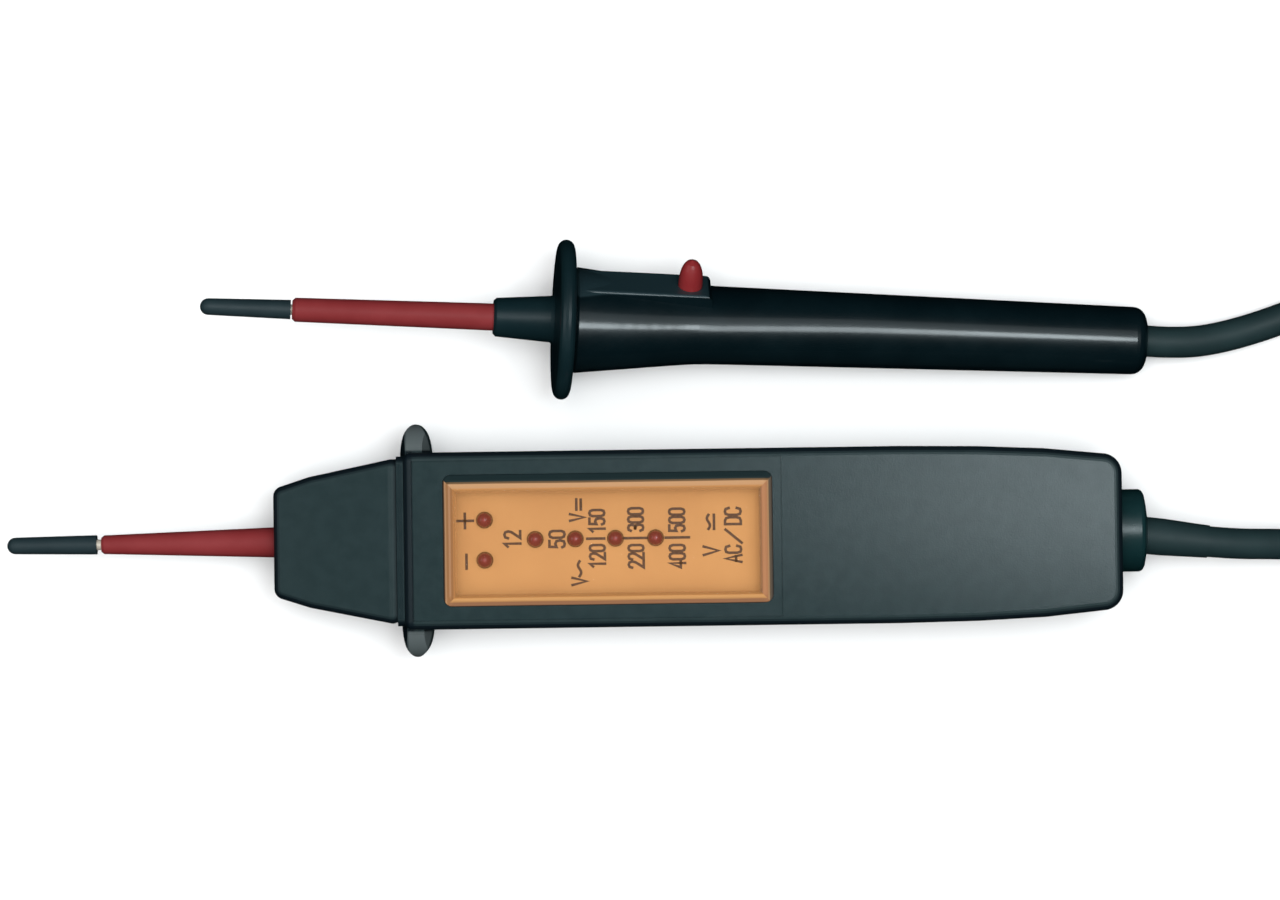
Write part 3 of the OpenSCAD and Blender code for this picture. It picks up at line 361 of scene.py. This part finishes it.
# Painted shade darkens the rounded edges and painted light lightens the side faces; up is 0 facing down, 0.5
# on upright faces and 1 on tops
up = housing.facing_up(-1.0, 1.0)
rounded_edge_shade = housing.mask(up, [(0.57, 0), (0.63, 1), (0.93, 1), (0.985, 0)])
upright = housing.mask(up, [(0.53, 1), (0.57, 0)])
tone_with_painted_light = housing.mix(rounded_edge_shade, housing.fed("Base Color"), rgb(10, 19, 24))
tone_with_painted_light = housing.mix(upright, tone_with_painted_light, rgb(46, 62, 64))
# The joint between the nose and the body, partly a dark joint and partly painted shade: a soft painted shadow
# in front of its lip and a darker band behind it; their strength by place
JOINT_AND_SHADE = [
    (23.0, 0), (23.4, 0), (23.8, 0.4), (24.6, 0.4), (24.84, 0),
    (25.24, 0), (25.48, 0.8), (26.52, 0.8), (26.88, 0), (27.0, 0),
]
tone_with_painted_light = housing.mix(housing.mask_behind_front(JOINT_AND_SHADE), tone_with_painted_light, rgb(6, 16, 22))
# Painted sheen: the finger ears, which stand out past the body's sides, are painted a lighter grey on top
# behind their front edge
EAR_FROM, EAR_FULL = 17.0, 17.4
EAR_SHEEN = (25.1, 25.6)
off_axis = housing.math("SUBTRACT", housing.split(housing.coord)[1], UNIT_Y * MM)
past_side = housing.span(housing.math("ABSOLUTE", off_axis), 0.0, 1.0, EAR_FROM * MM, EAR_FULL * MM)
ear = housing.math("MULTIPLY", past_side, housing.facing_up(0.05, 0.3))
ear_sheen = housing.math("MULTIPLY", ear, housing.behind_front(*EAR_SHEEN))
housing.color(housing.mix(ear_sheen, tone_with_painted_light, rgb(72, 80, 81)))
# All but the flat tops is rougher
flat = housing.facing_up(0.985, 0.9995)
housing.rough(housing.mix(flat, grey(0.5), housing.fed("Roughness")))

# Probe handle: polished, apart from its thumb rest, which is matt and has painted sheen

gloss = moulded(
    "handle_plastic", rgb(3, 14, 18), rgb(6, 19, 23), (0.32, 0.4), 500, 0.000006,
    coat=0.8, coat_rough=0.15, lean=0.135)
# The thumb rest is where the handle stands out furthest towards the button: matt, with painted sheen that
# makes it a little lighter
REST_FROM, REST_FULL = 8.75, 8.95
from_guard = gloss.vector("SUBTRACT", gloss.coord, [c * MM for c in GUARD_AT])
stands_out = gloss.vector("DOT_PRODUCT", from_guard, BUTTON_OUT)
rest_matt_and_sheen = gloss.span(stands_out, 0.0, 1.0, REST_FROM * MM, REST_FULL * MM)
gloss.color(gloss.mix(rest_matt_and_sheen, gloss.fed("Base Color"), rgb(24, 41, 46)))
gloss.rough(gloss.mix(rest_matt_and_sheen, gloss.fed("Roughness"), grey(0.55)))

# The other moulded pieces

guard = moulded("guard_plastic", rgb(10, 27, 31), rgb(15, 33, 37), (0.3, 0.38), 1200, 0.000012, spec=0.6)
gland_mat = moulded("gland_plastic", rgb(12, 36, 38), rgb(16, 41, 43), (0.26, 0.34), 1200, 0.000012, spec=0.7)
red = moulded("sleeve_red", rgb(113, 38, 40), rgb(122, 45, 47), (0.42, 0.52), 1500, 0.000015, spec=0.15)
button_red = moulded("button_red", rgb(115, 31, 34), rgb(125, 39, 41), (0.3, 0.4), 1200, 0.00001)
cap = moulded("cap_rubber", rgb(25, 38, 42), rgb(31, 45, 49), (0.42, 0.54), 2500, 0.00002)
cable_mat = moulded("cable_sheath", rgb(23, 39, 41), rgb(28, 45, 47), (0.5, 0.58), 900, 0.00002, spec=0.45)
tie_mat = moulded("tie_nylon", rgb(22, 24, 25), rgb(30, 32, 33), (0.3, 0.4), 1500, 0.00001)
clamp_mat = moulded("clamp_nylon", rgb(205, 202, 190), rgb(216, 213, 202), (0.35, 0.45), 1200, 0.00001)
chip_mat = moulded("chip_plastic", rgb(26, 26, 28), rgb(34, 34, 36), (0.4, 0.5), 3000, 0.00001)
wire_mat = moulded("wire_sheath", rgb(96, 30, 26), rgb(108, 38, 32), (0.3, 0.4), 1500, 0.00001)
board_mat = moulded("board_laminate", rgb(26, 92, 52), rgb(34, 104, 60), (0.25, 0.35), 1500, 0.000008)
capacitor_mat = moulded("capacitor_sleeve", rgb(34, 48, 92), rgb(44, 60, 106), (0.2, 0.3), 1200, 0.000006)
resistor_mat = moulded("resistor_lacquer", rgb(186, 152, 104), rgb(202, 168, 120), (0.35, 0.5), 2200, 0.00001)

# Scale plate, and the ink on it

plate = Mat("scale_amber", Roughness=0.6, Specular_IOR_Level=0.1)
plate.color(plate.ramp(plate.noise(60, detail=3), [(0.3, rgb(184, 132, 82)), (0.7, rgb(190, 138, 86))]))
plate.bump(plate.noise(2200), strength=0.3, distance=0.00001)

ink = Mat("print_ink", Roughness=0.5)
ink.color(ink.ramp(ink.noise(2500, detail=3), [(0.35, rgb(58, 36, 24)), (0.65, rgb(74, 48, 32))]))

# Clear window: nearly invisible over the scale; its solid border carries painted highlights, painted shade
# and painted refractions of the colours beside and below it

WINDOW_L, WINDOW_W = 62.3, 24.8
WINDOW_FRONT = 32.5
# The painted border's colours follow an outline that is a little narrower than the window and lies beside the
# axis
OUTLINE_SIDE = -0.6
OUTLINE_TRIM = 0.25
BORDER = 3.0
# How far the painted border's colours waver to either side
WAVER = 0.03

window_mat = Mat("window_clear", Roughness=0.06, IOR=1.49)
outline_middle = unit(WINDOW_FRONT + WINDOW_L / 2, OUTLINE_SIDE, 0)
outline_half = (WINDOW_L / 2 * MM, (WINDOW_W / 2 - OUTLINE_TRIM) * MM, 0)
from_middle = window_mat.vector("SUBTRACT", window_mat.coord, outline_middle)
place = window_mat.split(from_middle)
off_middle = window_mat.vector("ABSOLUTE", from_middle)
past = window_mat.split(window_mat.vector("SUBTRACT", off_middle, outline_half))
inside = window_mat.math("MULTIPLY", window_mat.math("MAXIMUM", past[0], past[1]), -1 / MM)
inside = window_mat.math("ADD", inside, window_mat.span(window_mat.noise(60), -WAVER, WAVER))
inside = window_mat.span(inside, 0, 1, 0, BORDER)


def border(stops):
    """Painted highlights, shade and refracted colours by distance inside the outline."""
    return window_mat.ramp(inside, [(d / BORDER, rgb(*c)) for d, c in stops], smooth_steps=False)


left_rim_painted_light = border([
    (0.0, (72, 54, 42)), (0.2, (84, 62, 46)), (0.3, (178, 134, 98)), (0.5, (178, 134, 98)),
    (0.6, (160, 114, 76)), (1.3, (160, 114, 76)), (1.5, (142, 98, 62)), (1.75, (142, 98, 62)),
    (2.0, (184, 128, 78)),
])
right_rim_painted_light = border([
    (0.0, (70, 60, 52)), (0.25, (86, 76, 66)), (0.6, (104, 88, 72)), (0.72, (176, 134, 96)),
    (0.85, (176, 134, 96)), (1.0, (166, 116, 82)), (2.1, (166, 116, 82)), (2.25, (136, 100, 72)),
    (2.45, (136, 100, 72)), (2.6, (186, 132, 80)),
])
top_rim_painted_light = border([
    (0.0, (30, 43, 45)), (0.4, (38, 48, 48)), (0.5, (96, 76, 56)), (0.75, (104, 80, 56)),
    (0.9, (180, 138, 100)), (1.6, (180, 138, 100)), (1.75, (178, 126, 78)), (2.6, (178, 126, 78)),
])
bottom_rim_painted_light = border([
    (0.0, (66, 50, 38)), (0.3, (110, 80, 58)), (0.55, (156, 110, 80)), (1.05, (156, 110, 80)),
    (1.2, (196, 144, 92)), (1.75, (196, 144, 92)), (1.95, (170, 118, 68)), (2.3, (190, 132, 80)),
])
ends = window_mat.mix(window_mat.math("GREATER_THAN", place[0], 0.0), left_rim_painted_light, right_rim_painted_light)
flanks = window_mat.mix(window_mat.math("GREATER_THAN", place[1], 0.0), bottom_rim_painted_light, top_rim_painted_light)
nearer_flank = window_mat.math("GREATER_THAN", past[1], past[0])
window_mat.color(window_mat.mix(nearer_flank, ends, flanks))
# Opacity by distance inside the outline, so that the painted border covers what lies below it
OPACITY = ((0.0, 1.0), (1.8, 0.85), (2.0, 0.6), (2.3, 0.3), (2.75, 0.05))
opacity = window_mat.mask(inside, [(d / BORDER, v) for d, v in OPACITY])
window_mat.link(opacity, window_mat.shader.inputs["Alpha"])
window_mat.bump(window_mat.noise(150, detail=1), strength=0.15, distance=0.00001)

# Metals


def metal(name, low, high, rough, stretch, metallic=0.6):
    """Drawn or turned metal, with fine lines along the axis that stretch leaves at 1."""
    m = Mat(name, Metallic=metallic)
    lines = m.noise(900, detail=3, rough=0.6, stretch=stretch)
    m.color(m.ramp(lines, [(0.3, low), (0.7, high)]))
    m.rough(m.span(lines, *rough))
    m.bump(lines, strength=0.25, distance=0.000006)
    return m


pin_mat = metal("pin_nickel", rgb(206, 196, 180), rgb(224, 215, 200), (0.3, 0.4), (1, 12, 12), metallic=0.4)
screw_mat = metal("screw_steel", rgb(170, 170, 166), rgb(196, 196, 192), (0.25, 0.4), (6, 6, 1))
brass_mat = metal("terminal_brass", rgb(188, 156, 84), rgb(208, 176, 100), (0.2, 0.34), (1, 8, 8))

# LED lenses

# An LED's radius, and the distance from its middle at which its colours end
LED_R = 1.5
LED_SPAN = 1.6


def led_material(name, x, y):
    """Red lens with the small pale chip and its cup seen through the middle."""
    m = Mat(name, Roughness=0.16, Coat_Weight=0.4, Coat_Roughness=0.08)
    from_centre = m.vector("SUBTRACT", m.coord, unit(x, y, 0))
    distance = m.vector("LENGTH", m.vector("MULTIPLY", from_centre, (1 / MM, 1 / MM, 0)))
    wobble = m.mix(m.span(m.noise(700), 0.0, 0.12), distance, grey(LED_R))
    m.color(m.ramp(m.span(wobble, 0, 1, 0, LED_SPAN), [
        (0.0, rgb(140, 72, 76)), (0.18, rgb(128, 53, 57)), (0.34, rgb(108, 33, 36)), (0.8, rgb(101, 29, 31)),
        (1.0, rgb(86, 28, 28)),
    ]))
    return m


# Which node gets which material

PAINT = {
    housing: ["housing_top", "housing_bottom"],
    gloss: ["probe_handle"],
    guard: ["probe_guard"],
    gland_mat: ["cable_gland"],
    red: ["main_sleeve", "probe_sleeve"],
    button_red: ["push_button"],
    cap: ["main_tip_cap", "probe_tip_cap"],
    cable_mat: ["cable_boot", "cable_run_probe", "cable_coil", "cable_run_main"],
    tie_mat: ["cable_tie"],
    clamp_mat: ["cable_clamp"],
    chip_mat: ["driver_chip", "push_switch"],
    wire_mat: ["main_wires", "probe_wires"],
    board_mat: ["circuit_board", "switch_board"],
    capacitor_mat: ["capacitor"],
    resistor_mat: ["series_resistors"],
    plate: ["scale_plate"],
    window_mat: ["display_window"],
    pin_mat: ["main_pin", "probe_pin"],
    screw_mat: [
        "housing_screws", "board_screws", "clamp_screws", "terminal_screw", "button_spring", "cable_clip"],
    brass_mat: ["pin_terminal", "probe_terminal"],
}


def paint(obj, mat):
    if obj.material_slots:
        for s in obj.material_slots:
            s.material = mat.mat
    else:
        obj.data.materials.append(mat.mat)


for mat, names in PAINT.items():
    for name in names:
        paint(nodes[name], mat)
paint(cable, cable_mat)

# The plus and minus LEDs side by side, then four in a row

# The pair's place and the row's first place behind the housing's front, and the step from LED to LED
LED_PAIR = 40.2
LED_ROW = 49.8
LED_PITCH = 7.62
LEDS = {
    "led_plus": (LED_PAIR, LED_PITCH / 2), "led_minus": (LED_PAIR, -LED_PITCH / 2),
    "led_50": (LED_ROW, 0), "led_120": (LED_ROW + LED_PITCH, 0),
    "led_220": (LED_ROW + 2 * LED_PITCH, 0), "led_400": (LED_ROW + 3 * LED_PITCH, 0),
}
for name, (x, y) in LEDS.items():
    paint(nodes[name], led_material(name + "_lens", x, y))

# The button's return spring, which on the real probe shortens as the button goes in: a copy with a mesh of
# its own

spring_mesh = nodes["button_spring"].data.copy()
spring = add_object("return_spring", spring_mesh)
paint(spring, screw_mat)
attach(spring, "root")
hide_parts("button_spring")
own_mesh(spring)

# Print on the scale: strokes laid flat on the plate, which read from the lower edge upwards

# Height of the plate's face, height of the print above it, and width of a stroke
PLATE_TOP = 20.4
INK = 0.02
STROKE = 0.52
# The least cosine that a mitre is worked out with, which keeps sharp corners short
SHARPEST = 0.45
# The strokes of each letter, in a box one wide and one high
GLYPHS = {
    "0": [[(.5, 0), (.16, .05), (0, .22), (0, .78), (.16, .95), (.5, 1), (.84, .95), (1, .78), (1, .22),
           (.84, .05), (.5, 0)]],
    "1": [[(.2, .8), (.62, 1), (.62, 0)]],
    "2": [[(0, .78), (.12, .94), (.5, 1), (.86, .94), (1, .76), (.88, .55), (.02, 0), (1, 0)]],
    "3": [[(0, .84), (.16, .97), (.5, 1), (.86, .95), (.98, .77), (.84, .58), (.4, .54)],
          [(.4, .54), (.88, .46), (1, .26), (.86, .05), (.5, 0), (.14, .04), (0, .18)]],
    "4": [[(.72, 0), (.72, 1), (0, .28), (1, .28)]],
    "5": [[(.94, 1), (.08, 1), (.04, .54), (.5, .62), (.88, .54), (1, .3), (.86, .06), (.5, 0), (.14, .04),
           (0, .16)]],
    "A": [[(0, 0), (.5, 1), (1, 0)], [(.17, .33), (.83, .33)]],
    "C": [[(1, .76), (.86, .95), (.5, 1), (.14, .95), (0, .76), (0, .24), (.14, .05), (.5, 0), (.86, .05),
           (1, .24)]],
    "D": [[(0, 0), (0, 1), (.5, 1), (.86, .93), (1, .72), (1, .28), (.86, .07), (.5, 0), (0, 0)]],
    "V": [[(0, 1), (.5, 0), (1, 1)]],
}
# Text, its baseline and start on the display unit, a letter's height and width, and the step to the next
WORDS = [
    ("12", 46.96, -1.55, 3.0, 1.3, 1.85),
    ("50", 55.4, -1.55, 2.9, 1.3, 1.8),
    ("150", 63.0, 1.15, 2.85, 1.15, 1.56),
    ("120", 63.0, -5.5, 2.85, 1.15, 1.56),
    ("300", 70.35, 1.4, 2.85, 1.15, 1.56),
    ("220", 70.35, -5.6, 2.85, 1.15, 1.56),
    ("500", 78.2, 1.2, 2.9, 1.15, 1.56),
    ("400", 78.2, -5.7, 2.9, 1.15, 1.56),
    ("V", 59.2, 3.45, 2.7, 1.25, 1.5),
    ("V", 59.5, -8.75, 2.7, 1.35, 1.5),
    ("V", 84.6, -3.4, 2.8, 1.6, 1.5),
    ("AC", 88.9, -4.8, 3.0, 1.3, 1.75),
    ("DC", 88.9, 2.4, 3.0, 1.3, 1.75),
]
SLASH = [[(89.0, -1.15), (86.0, 1.35)]]
BETWEEN_NUMBERS = [[(59.7, 0), (62.9, 0)], [(66.9, 0), (70.9, 0)], [(74.6, 0), (79.0, 0)]]
PLUS_AND_MINUS = [[(35.0, 3.7), (38.0, 3.7)], [(36.5, 2.35), (36.5, 5.05)], [(36.7, -5.35), (36.7, -2.75)]]
# The straight lines of the signs for either voltage and for direct voltage, and the dashes of the second
SIGN_LINES = [[(83.8, 1.55), (83.8, 4.2)], [(57.7, 5.55), (57.7, 7.5)]]
DASHES = [[(58.55, 5.58 + k * 0.72), (58.55, 5.98 + k * 0.72)] for k in range(3)]


def word(text, base_x, start_y, height, width, step):
    return [
        [(base_x - gy * height, start_y + i * step + gx * width) for gx, gy in line]
        for i, letter in enumerate(text) for line in GLYPHS[letter]]


def wave(x, y0, y1, depth, steps=12):
    """The sign for alternating voltage."""
    return [
        (x + depth * math.sin(2 * math.pi * k / steps), y0 + (y1 - y0) * k / steps)
        for k in range(steps + 1)]


def ribbon(line, half):
    """Left and right edges of a stroke, mitred at its corners."""
    points = [mathutils.Vector(p) for p in line]
    closed = (points[0] - points[-1]).length < 1e-6
    if closed:
        points = points[:-1]
    count = len(points)
    left, right = [], []
    for i, p in enumerate(points):
        before = points[i - 1] if i or closed else None
        after = points[(i + 1) % count] if i < count - 1 or closed else None
        coming = (p - before).normalized() if before is not None else None
        going = (after - p).normalized() if after is not None else None
        if coming is None:
            p, course = p - going * half, going
        elif going is None:
            p, course = p + coming * half, coming
        else:
            course = (coming + going).normalized()
        side = mathutils.Vector((-course.y, course.x))
        reach = half
        if coming is not None and going is not None:
            reach = half / max(SHARPEST, side.dot(mathutils.Vector((-coming.y, coming.x))))
        left.append(p + side * reach)
        right.append(p - side * reach)
    return left, right, closed


strokes = [line for entry in WORDS for line in word(*entry)]
strokes += SLASH + BETWEEN_NUMBERS + PLUS_AND_MINUS
strokes += [wave(58.15, -7.1, -4.3, 0.3), wave(82.75, 1.55, 4.2, 0.28)]
strokes += SIGN_LINES + DASHES

vertices, faces = [], []
for line in strokes:
    left, right, closed = ribbon(line, STROKE / 2)
    first, count = len(vertices), len(left)
    for pair in zip(left, right):
        vertices += [unit(p.x, p.y, PLATE_TOP + INK) for p in pair]
    for i in range(count if closed else count - 1):
        j = (i + 1) % count
        faces.append((first + 2 * i, first + 2 * j, first + 2 * j + 1, first + 2 * i + 1))
print_mesh = bpy.data.meshes.new("scale_print")
print_mesh.from_pydata(vertices, [], faces)
scale_print = add_object("scale_print", print_mesh)
paint(scale_print, ink)
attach(scale_print, "root")

# Floor, a round disc just below what lies on it, and soft studio light; radius and drop are in metres

FLOOR_R = 4.0
FLOOR_DROP = 0.0003
FLOOR_CORNERS = 64

floor_mesh = bpy.data.meshes.new("floor")
corners = [2 * math.pi * k / FLOOR_CORNERS for k in range(FLOOR_CORNERS)]
rim = [(FLOOR_R * math.cos(a), FLOOR_R * math.sin(a), 0) for a in corners]
floor_mesh.from_pydata(rim, [], [tuple(range(FLOOR_CORNERS))])
floor = add_object("floor", floor_mesh)
floor.location.z = -FLOOR_DROP
floor_mat = Mat("floor_pale", Roughness=0.9, Specular_IOR_Level=0.1)
floor_mat.color(floor_mat.ramp(floor_mat.noise(3), [(0.3, grey(0.88)), (0.7, grey(0.9))]))
paint(floor, floor_mat)
floor.visible_diffuse = False
floor.visible_glossy = False

# The world lights only from well above: its strength by the height of the direction
SKY_FROM, SKY_FULL = 0.5, 0.95
SKY_STRENGTH = 2.0

world = bpy.data.worlds.new("studio")
bpy.context.scene.world = world
world.use_nodes = True
tree = world.node_tree
sky = tree.nodes["Background"]
sky.inputs[0].default_value = grey(1)
direction = tree.nodes.new("ShaderNodeTexCoord")
parts = tree.nodes.new("ShaderNodeSeparateXYZ")
rise = tree.nodes.new("ShaderNodeMapRange")
rise.inputs["From Min"].default_value = SKY_FROM
rise.inputs["From Max"].default_value = SKY_FULL
rise.inputs["To Max"].default_value = SKY_STRENGTH
tree.links.new(direction.outputs["Generated"], parts.inputs[0])
tree.links.new(parts.outputs["Z"], rise.inputs["Value"])
tree.links.new(rise.outputs[0], sky.inputs[1])
world.cycles_visibility.glossy = False

PANEL_TINT = (0.88, 1.0, 1.04)


def softbox(name, place, turn, size_x, size_y, radiance, seen=True, tint=PANEL_TINT):
    """A panel that faces straight down, in metres and degrees; radiance 1 is the render's white."""
    data = bpy.data.lights.new(name, "AREA")
    data.shape = "RECTANGLE"
    data.size = size_x
    data.size_y = size_y
    data.energy = radiance * math.pi * size_x * size_y
    data.color = tint
    obj = add_object(name, data)
    obj.location = place
    obj.rotation_euler = (0, 0, math.radians(turn))
    obj.visible_glossy = seen
    obj.visible_camera = False


# Name, place, turn, two sides and radiance
softbox("key", (0.33, 0.03, 1.16), 25, 0.36, 0.27, 6.2)
softbox("hot", (0.405, 0.07, 1.15), 0, 0.055, 0.22, 11.0)
softbox("left", (-0.8, 0.05, 0.6), 0, 0.6, 0.5, 1.0)
softbox("side", (0.162, 0.105, 1.16), 0, 0.088, 0.32, 6.2)
softbox("glow", (0.35, 0.5, 1.2), 0, 0.9, 0.55, 0.55)
softbox("top", (0.0, 0.0, 1.6), 0, 0.8, 0.8, 5.5, seen=False, tint=(1, 1, 1))
